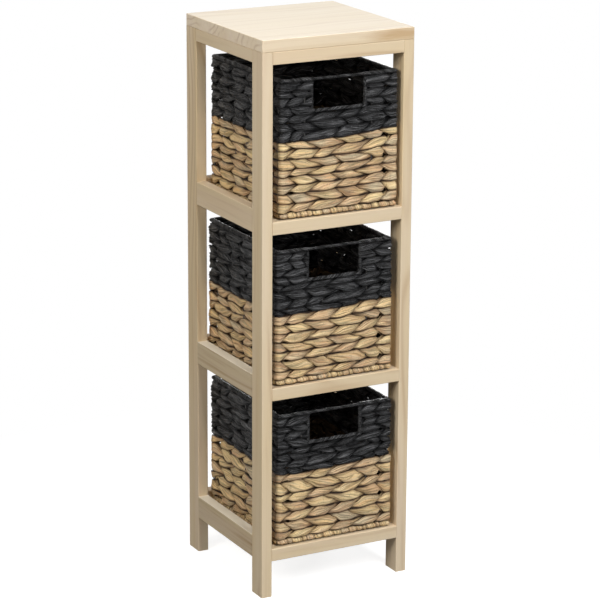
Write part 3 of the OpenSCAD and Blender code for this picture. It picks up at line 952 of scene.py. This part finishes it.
def natural_finish(name, finish):
    """Dried stalks: ash, rosy, tan and straw by each stalk's tone, with dark fissures and pale
    ridges along it, and specks. Painted shade, brown and then a very dark brown, darkens it
    where it lies less open to the light, by the next row and where it goes behind, and
    on its inner side."""
    graph = Graph(name)
    thread, (tone, height, outer), skin, relief = stalk_relief(graph)
    streaks, fissures, ridges, hairs, specks = skin
    drift = graph.noise(thread, (16, 0.8, 0.8), 2)
    patches = graph.noise(thread, (12, 1.1, 1.1), 1)
    shade = graph.node("ShaderNodeValToRGB", {"stops": (
        (0.10, tuple(finish.ash)), (0.34, tuple(finish.rose)), (0.55, tuple(finish.tan)),
        (0.85, tuple(finish.straw)))}, {0: tone * 0.75 + drift * 0.9 - 0.34})
    # Painted shade: deep grows where the stalk lies less open to the light
    deep = (1 - height * 1.15).clamped()
    for amount, tint in (
            (patches.over(0.52, 4.0) * 0.55, finish.ash),
            (streaks.over(0.50, 4.5) * 0.55, finish.rose),
            (ridges * 0.55, finish.pale),
            (((0.42 - streaks) * 7.0).clamped() * 0.40, finish.umber_and_shade),
            (fissures * 0.48, finish.umber_and_shade),
            (hairs.over(0.56, 4.0) * 0.38, finish.umber_and_shade),
            (specks.over(0.58, 6.0) * 0.30, finish.umber_and_shade),
            # Painted shade in the creases and on the hidden ends, then on the inner side
            (deep * 0.62, finish.shade_brown),
            (deep ** 1.7, finish.umber_and_shade),
            ((1 - outer) * 0.92, finish.umber_and_shade)):
        shade = graph.mix(amount, shade, tint)
    return graph.surface(
        Base_Color=shade, Roughness=0.60 - streaks * 0.16, Specular_IOR_Level=0.22,
        Normal=graph.bump(relief, 0.0018, 0.9))


def black_finish(name, finish):
    """Stalks under black paint: the same relief, with paler paint on the streaks, ridges,
    hairs and specks, partly wear and partly painted glints, where the stalk lies open to the
    light, and painted shade where it lies less open.
    """
    graph = Graph(name)
    _thread, (tone, height, _outer), skin, relief = stalk_relief(graph)
    streaks, fissures, ridges, hairs, specks = skin
    # Paler paint on the streaks, ridges and hairs: partly wear, partly painted glints
    wear_and_glint = ((streaks - 0.55) * 7.0 + (tone - 0.5) * 0.5).clamped() * 0.35 + ridges * 0.5
    wear_and_glint = wear_and_glint + hairs.over(0.56, 10.0) * 0.8
    # Painted shade where the stalk lies less open to the light, deepened on the fissures
    deep = (1 - height * 1.1 + fissures * 0.7).clamped()
    # It shows only where the stalk lies open to the light, with pale specks, as a painted glint
    # does
    shade = graph.mix((wear_and_glint * height).clamped() * 0.85, finish.black, finish.black_worn_and_glint)
    shade = graph.mix(specks.over(0.60, 6.0) * height * 0.5, shade, finish.black_worn_and_glint)
    shade = graph.mix(deep * 0.9, shade, finish.black_fissure_shade)
    return graph.surface(
        Base_Color=shade, Roughness=0.56 - hairs * 0.20, Specular_IOR_Level=0.14,
        Normal=graph.bump(relief, 0.0040, 1.0))


def metal_finish(name, shade, metallic, roughness):
    """Drawn metal with fine scratches along it and uneven gloss."""
    graph = Graph(name)
    place = graph.place()
    scratch = graph.noise(place, (900, 900, 160), 3)
    cloud = graph.noise(place, (60, 60, 60), 2)
    tint = graph.mix(cloud * 0.35, shade, tuple(0.7 * part for part in shade[:3]) + (1.0,))
    return graph.surface(
        Base_Color=tint, Metallic=metallic, Roughness=roughness + scratch * 0.18,
        Normal=graph.bump(scratch, 0.00003, 0.4))


def grain_of(node):
    """Axis along which the grain of a wooden node runs."""
    if node.startswith("leg"):
        return "z"
    if node.startswith(("rail_left", "rail_right", "top_rail_left", "top_rail_right")):
        return "y"
    return "x"


def refinish(node, material):
    """Gives a solid of the frame its finish, in place of its plain one."""
    slots = frame["nodes"][node].material_slots
    if not slots:
        raise RuntimeError(f"{node} has no material slot")
    for slot in slots:
        slot.material = material


# ---- Operators ----

INTO_THE_RIM = 0.001  # how far the upper rows and the cheeks run up into the rim
PAST_THE_CHEEK = 0.0006  # how far the rows beside the hand hole reach past its cheeks
CHEEK_WIDE = 0.0024  # half width of a cheek, seen from the front
CHEEK_THICK = 0.0035  # half thickness of a cheek
CHEEK_FOOT = 0.005  # how far a cheek runs down past the sill's top
SILL_THICK = 0.0040  # half thickness of the sill
RIM_THICK = 0.0041  # half thickness of the rim
RIM_THINNER = 0.0016  # how much less it is over the hand hole
RIM_CHANGE = 0.008  # length over which the rim changes there
BASE_DRAWN_IN = 0.004  # length over which the ends of the base's stalks are drawn in

# What each part of a basket adds to the seed of its random numbers
DRAWS = {"lower_wall": 0, "upper_wall": 10, "rim": 20, "roll": 30, "base": 40}


class TOWER_OT_wood(bpy.types.Operator):
    """Finish every wooden solid, each with its own run of grain"""
    bl_idname = "tower.wood"
    bl_label = "Finish the Wood"

    def execute(self, context):
        finish = context.scene.tower_finish
        slots = {part["node"]: part["material_slot"] for part in frame["record"]["subparts"]}
        wooden = sorted(node for node, slot in slots.items() if "wood" in slot)
        (_left, front, _low), (right, _back, top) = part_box("top_board")
        knot = (right - KNOT_IN[0], front, top - KNOT_IN[1])
        for seed, node in enumerate(wooden):
            settings = {}
            if node == "top_board":
                settings = {"knot": knot, "sheen": True}
            elif node.startswith(("rail_left", "rail_right")) and "top" not in node:
                settings = {"figure": finish.side_rail_figure, "tone": finish.side_rail_tone}
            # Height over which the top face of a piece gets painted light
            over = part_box(node)[1][2] - LIT_TOP_DEPTH
            refinish(node, wood_finish(f"wood_{node}", grain_of(node), seed + 11, finish,
                                       over, **settings))
        return {"FINISHED"}


class TOWER_OT_metal(bpy.types.Operator):
    """Finish the screws and the wires of the baskets"""
    bl_idname = "tower.metal"
    bl_label = "Finish the Metal"

    def execute(self, context):
        finish = context.scene.tower_finish
        refinish("screws_board", metal_finish("zinc", tuple(finish.steel), 1.0, 0.28))
        lacquer = metal_finish("lacquered_wire", tuple(finish.lacquer), 0.0, 0.35)
        for level in LEVELS:
            refinish(f"basket_{level}_wires", lacquer)
        return {"FINISHED"}


def baskets(weave, part):
    """Each basket, with random numbers of its own for the part, and a skin to fill."""
    for level in LEVELS:
        basket = Basket(level, weave)
        yield basket, np.random.default_rng(basket.seed + DRAWS[part]), Skin()


def row_heights(bottom, top, rows):
    """Middles of rows that share the height between bottom and top."""
    return bottom + (top - bottom) * (np.arange(rows) + 0.5) / rows


def row_twist(row):
    """1 for a row whose stalks rise to the right on the front, and -1 for the next."""
    return 1 if row % 2 == 0 else -1


class TOWER_OT_natural_walls(bpy.types.Operator):
    """Twine the bare rows of the three baskets"""
    bl_idname = "tower.natural_walls"
    bl_label = "Weave the Natural Walls"

    def execute(self, context):
        weave = context.scene.tower_weave
        material = natural_finish("natural_stalks", context.scene.tower_finish)
        for basket, rng, skin in baskets(weave, "lower_wall"):
            edges = basket.edges(*basket.heights("lower_wall"), basket.natural_rows)
            for row in range(basket.natural_rows):
                weave_row(skin, basket, rng, edges[row], edges[row + 1], row_twist(row))
            finish_piece(skin, "natural_weave", basket, material, "lower_wall")
        return {"FINISHED"}


class TOWER_OT_black_walls(bpy.types.Operator):
    """Twine the black rows of the three baskets, and leave the hand hole open"""
    bl_idname = "tower.black_walls"
    bl_label = "Weave the Black Walls"

    def execute(self, context):
        weave = context.scene.tower_weave
        wrap = context.scene.tower_wrap
        material = black_finish("black_stalks", context.scene.tower_finish)
        for basket, rng, skin in baskets(weave, "upper_wall"):
            bottom, top = basket.heights("upper_wall")
            bar = top - wrap.hole_height - wrap.sill_bar
            middle = basket.ring.front_middle
            half = wrap.hole_width / 2 - PAST_THE_CHEEK
            past_hole = (middle + half, basket.ring.length + middle - half)
            under = basket.sill_rows
            edges = np.concatenate([
                basket.edges(bottom, bar, under),
                basket.edges(bar, top + INTO_THE_RIM, weave.hole_rows)[1:]])
            for row in range(under + weave.hole_rows):
                weave_row(skin, basket, rng, edges[row], edges[row + 1],
                          row_twist(row + basket.natural_rows),
                          span=past_hole if row >= under else None, open_corners=0.55,
                          crease_depth=weave.black_crease, row_shade_amount=0.6, slip=0.25)
            finish_piece(skin, "black_weave", basket, material, "upper_wall")
        return {"FINISHED"}


class TOWER_OT_rims(bpy.types.Operator):
    """Wrap the rims, which are thinner where the hand holds them, and the hand holes"""
    bl_idname = "tower.rims"
    bl_label = "Wrap the Rims"

    def execute(self, context):
        weave = context.scene.tower_weave
        wrap = context.scene.tower_wrap
        material = black_finish("black_wrapping", context.scene.tower_finish)
        for basket, rng, skin in baskets(weave, "rim"):
            low, high = basket.heights("rim")
            middle = basket.ring.front_middle

            def over_hole(places):
                """1 over the hand hole and 0 away from it, with a smooth change at its ends."""
                away = np.abs(places - middle) - wrap.hole_width / 2
                return smooth_step(-away / RIM_CHANGE + 0.5)

            def half_up(places):
                """Half height: half the rim's, and over the hole half the grip's."""
                return (high - low) / 2 + (wrap.rim_grip - high + low) / 2 * over_hole(places)

            def half_out(places):
                """Half thickness, less over the hole."""
                return RIM_THICK - RIM_THINNER * over_hole(places)

            wrap_ring(skin, basket, rng, (low + high) / 2, half_out, half_up,
                      pitch=wrap.rim_pitch, groove=wrap.rim_groove, helix=1)
            finish_piece(skin, "rim_wrap", basket, material, "rim")
            self.hand_hole(basket, weave, wrap, rng, material)
        return {"FINISHED"}

    @staticmethod
    def hand_hole(basket, weave, wrap, rng, material):
        """Cheeks and sill of the hand hole, wrapped round their wires."""
        top = basket.heights("upper_wall")[1]
        sill = top - wrap.hole_height
        front = -basket.size[1] / 2
        skin = Skin()
        for side in (LEFT, RIGHT):
            x = side * (wrap.hole_width / 2 + CHEEK_WIDE)
            wrap_bar(skin, rng, (x, front, sill - CHEEK_FOOT), (x, front, top + INTO_THE_RIM),
                     CHEEK_WIDE, CHEEK_THICK, (1, 0, 0), (0, 1, 0),
                     pitch=(top - sill) / weave.hole_rows, groove=0.10, helix=0.0)
        reach = wrap.hole_width / 2 + 2 * CHEEK_WIDE
        height = sill - wrap.sill_bar / 2
        wrap_bar(skin, rng, (-reach, front, height), (reach, front, height),
                 SILL_THICK, wrap.sill_bar / 2, (0, 1, 0), (0, 0, 1),
                 pitch=wrap.sill_pitch, groove=wrap.groove)
        finish_piece(skin, "hand_hole_wrap", basket, material)


class TOWER_OT_rolls(bpy.types.Operator):
    """Wrap the bottom rolls"""
    bl_idname = "tower.rolls"
    bl_label = "Wrap the Bottom Rolls"

    def execute(self, context):
        weave = context.scene.tower_weave
        wrap = context.scene.tower_wrap
        material = natural_finish("natural_wrapping", context.scene.tower_finish)
        for basket, rng, skin in baskets(weave, "roll"):
            low, high = basket.heights("roll")
            half_out = (basket.roll_high[0] - basket.roll_low[0] - basket.size[0]) / 2
            wrap_ring(skin, basket, rng, (low + high) / 2,
                      lambda places, half=half_out: np.full(len(places), half),
                      lambda places, half=(high - low) / 2: np.full(len(places), half),
                      pitch=wrap.roll_pitch, groove=wrap.groove, helix=0)
            finish_piece(skin, "roll_wrap", basket, material, "roll")
        return {"FINISHED"}


class TOWER_OT_bases(bpy.types.Operator):
    """Twine the bases in rows from side to side"""
    bl_idname = "tower.bases"
    bl_label = "Weave the Bases"

    def execute(self, context):
        weave = context.scene.tower_weave
        material = natural_finish("base_stalks", context.scene.tower_finish)
        for basket, rng, skin in baskets(weave, "base"):
            low, high = basket.heights("base")
            base_low, base_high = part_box(f"{basket.name}_base")
            half_x = (base_high[0] - base_low[0]) / 2
            half_y = (base_high[1] - base_low[1]) / 2
            rows = round(2 * half_y / weave.base_pitch)
            flat = (high - low) / (2 * weave.swing + weave.thickness)
            for row, y in enumerate(row_heights(-half_y, half_y, rows)):
                self.base_row(skin, weave, rng, half_x, y, (low + high) / 2, flat,
                              row_twist(row), basket.size[0])
            finish_piece(skin, "base_weave", basket, material, "base")
        return {"FINISHED"}

    @staticmethod
    def base_row(skin, weave, rng, half_x, y, height, flat, twist, width):
        """Adds one twined pair along X. Its section lies flat: out is down and up is along Y."""
        places = np.arange(-half_x, half_x + STALK_STEP / 2, STALK_STEP)
        angle = around(WRAP_SIDES)
        for stalk in (0, 1):
            phase = pi * (places / width * weave.stakes + stalk + 0.5)
            out, up, thick, wide, creases, tilt = twined_stalk(
                phase, twist, weave, rng, places, 4 * half_x, weave.base_pitch, flat)
            draw = end_draw(places, places[0], places[-1], BASE_DRAWN_IN)[:, None]
            side, rise = stalk_section(angle, thick * draw, wide * draw, creases, tilt * 0.5)
            points = np.stack([
                np.broadcast_to(places[:, None], side.shape),
                y + up + rise, height - out - side], -1)
            thread, look = stalk_marks(angle, places, phase, rng, 4 * half_x,
                                       weave.base_pitch, up, wide)
            skin.tube(points, thread, look, closed=False)


# Name, place and size of each lamp. Its power is the setting of that name.
LAMPS = (
    ("key", (0.2, -3.1, 2.9), 1.3),
    ("fill", (-2.1, -0.95, 1.65), 1.0),
    ("low", (0.0, -3.0, 0.5), 1.0),
    ("top", (0.0, -0.3, 2.6), 1.2),
    ("back", (1.7, 2.1, 0.4), 0.7),
)
LAMP_AIM = Vector((0, 0, 0.4))
FLOOR_HALF = 9.0
SHADE_KEPT = 0.6  # share of the floor's near distance up to which its shading is full
SENSOR = 36.0  # width of the camera's sensor in millimetres


class TOWER_OT_stage(bpy.types.Operator):
    """Set up the floor, the lamps, the even light and the camera"""
    bl_idname = "tower.stage"
    bl_label = "Set the Stage"

    def execute(self, context):
        stage = context.scene.tower_stage
        context.scene.view_settings.view_transform = "Standard"
        self.floor(stage)
        self.world(context.scene, stage.ambient)
        for name, place, size in LAMPS:
            shade = stage.fill_colour if name == "fill" else WHITE
            self.lamp(f"{name}_lamp", place, size, getattr(stage, name), shade)
        self.camera(context.scene, stage)
        return {"FINISHED"}

    @staticmethod
    def seen_directly(graph):
        """1 for a ray from the camera, a reflection or a clear piece, and 0 for light that
        bounces on to the object."""
        path = graph.node("ShaderNodeLightPath", {}, {}, "Is Camera Ray")
        glossy, clear = (Wire(graph, path.socket.node.outputs[name])
                         for name in ("Is Glossy Ray", "Is Transmission Ray"))
        return path.math("MAXIMUM", path.math("MAXIMUM", path, glossy), clear)

    def floor(self, stage):
        """White to the camera, with the object's shadow near it, and dull for the light that it
        returns."""
        half = FLOOR_HALF
        mesh = bpy.data.meshes.new("floor")
        mesh.from_pydata([(-half, -half, 0), (half, -half, 0), (half, half, 0), (-half, half, 0)],
                         [], [(0, 1, 2, 3)])
        graph = Graph("floor")
        dull, pale = (graph.node("ShaderNodeBsdfDiffuse", {}, {"Color": (shade,) * 3 + (1.0,)})
                      for shade in (stage.floor_bounce, stage.floor_shade))
        glow = graph.node("ShaderNodeEmission", {}, {"Strength": stage.floor_glow})
        white = graph.node("ShaderNodeAddShader", {}, (pale, glow))
        plain = graph.node("ShaderNodeEmission", {}, {"Strength": 1.0})
        away = graph.length_of(graph.place())
        far = (away / stage.floor_near - SHADE_KEPT).clamped()
        seen = graph.node("ShaderNodeMixShader", {}, {0: far, 1: white, 2: plain})
        both = graph.node("ShaderNodeMixShader", {}, {
            0: self.seen_directly(graph), 1: dull, 2: seen})
        graph.node("ShaderNodeOutputMaterial", {}, {"Surface": both})
        mesh.materials.append(graph.material)
        obj = put("floor", mesh)
        obj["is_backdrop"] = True

    def world(self, scene, ambient):
        """Even light on the object, and white where the camera or a reflection sees it."""
        world = bpy.data.worlds.new("studio")
        graph = Graph("studio", world)
        strength = self.seen_directly(graph) * (1.0 - ambient) + ambient
        back = graph.node("ShaderNodeBackground", {}, {
            "Color": WHITE, "Strength": strength})
        graph.node("ShaderNodeOutputWorld", {}, {"Surface": back})
        scene.world = world

    @staticmethod
    def lamp(name, place, size, power, shade):
        """Square lamp that faces the middle of the tower and stays out of sight."""
        data = bpy.data.lights.new(name, "AREA")
        data.size = size
        data.energy = power
        data.color = shade[:3]
        obj = put(name, data)
        aim = LAMP_AIM - Vector(place)
        turn = aim.to_track_quat("-Z", "Y").to_matrix().to_4x4()
        obj.matrix_world = Matrix.Translation(place) @ turn
        obj.visible_camera = False

    @staticmethod
    def camera(scene, stage):
        """Stands at the distance from its aim, along the azimuth and the elevation."""
        azimuth, elevation = radians(stage.azimuth), radians(stage.elevation)
        right = Vector((cos(azimuth), sin(azimuth), 0))
        back = Vector((sin(azimuth) * cos(elevation), -cos(azimuth) * cos(elevation),
                       sin(elevation)))
        up = back.cross(right)
        place = right * stage.aim_side + Vector((0, 0, stage.aim_height)) + back * stage.distance
        turn = Matrix((right, up, back)).transposed() @ Matrix.Rotation(
            radians(stage.roll), 3, "Z")
        data = bpy.data.cameras.new("camera")
        data.sensor_width = SENSOR
        data.lens = stage.lens
        data.clip_end = 60.0
        obj = put("camera", data)
        obj.matrix_world = Matrix.Translation(place) @ turn.to_4x4()
        scene.camera = obj


OPERATORS = (
    TOWER_OT_stage, TOWER_OT_wood, TOWER_OT_metal, TOWER_OT_natural_walls,
    TOWER_OT_black_walls, TOWER_OT_rims, TOWER_OT_rolls, TOWER_OT_bases,
)


class TOWER_PT_panel(bpy.types.Panel):
    """Steps that finish the tower, in their order"""
    bl_idname = "TOWER_PT_panel"
    bl_label = "Storage Tower"
    bl_space_type = "VIEW_3D"
    bl_region_type = "UI"
    bl_category = "Tower"

    def draw(self, context):
        for operator in OPERATORS:
            self.layout.operator(operator.bl_idname)
        for name, group in SETTINGS.items():
            box = self.layout.box()
            box.label(text=group.__doc__)
            for prop in group.__annotations__:
                box.prop(getattr(context.scene, name), prop)


CLASSES = (*SETTINGS.values(), *OPERATORS, TOWER_PT_panel)


def register():
    for cls in CLASSES:
        bpy.utils.register_class(cls)
    for name, group in SETTINGS.items():
        setattr(bpy.types.Scene, name, PointerProperty(type=group))


def unregister():
    for name in SETTINGS:
        delattr(bpy.types.Scene, name)
    for cls in reversed(CLASSES):
        bpy.utils.unregister_class(cls)


def main():
    """Runs every step in its order, and works out the boxes of the CAD and of the visual model."""
    register()
    for operator in OPERATORS:
        group, name = operator.bl_idname.split(".")
        getattr(getattr(bpy.ops, group), name)()
    boxes = {"cad": CAD_BOX, "visual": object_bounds()}
    ({key: [list(map(float, corner)) for corner in box]
               for key, box in boxes.items()})


if __name__ == "__main__":
    main()
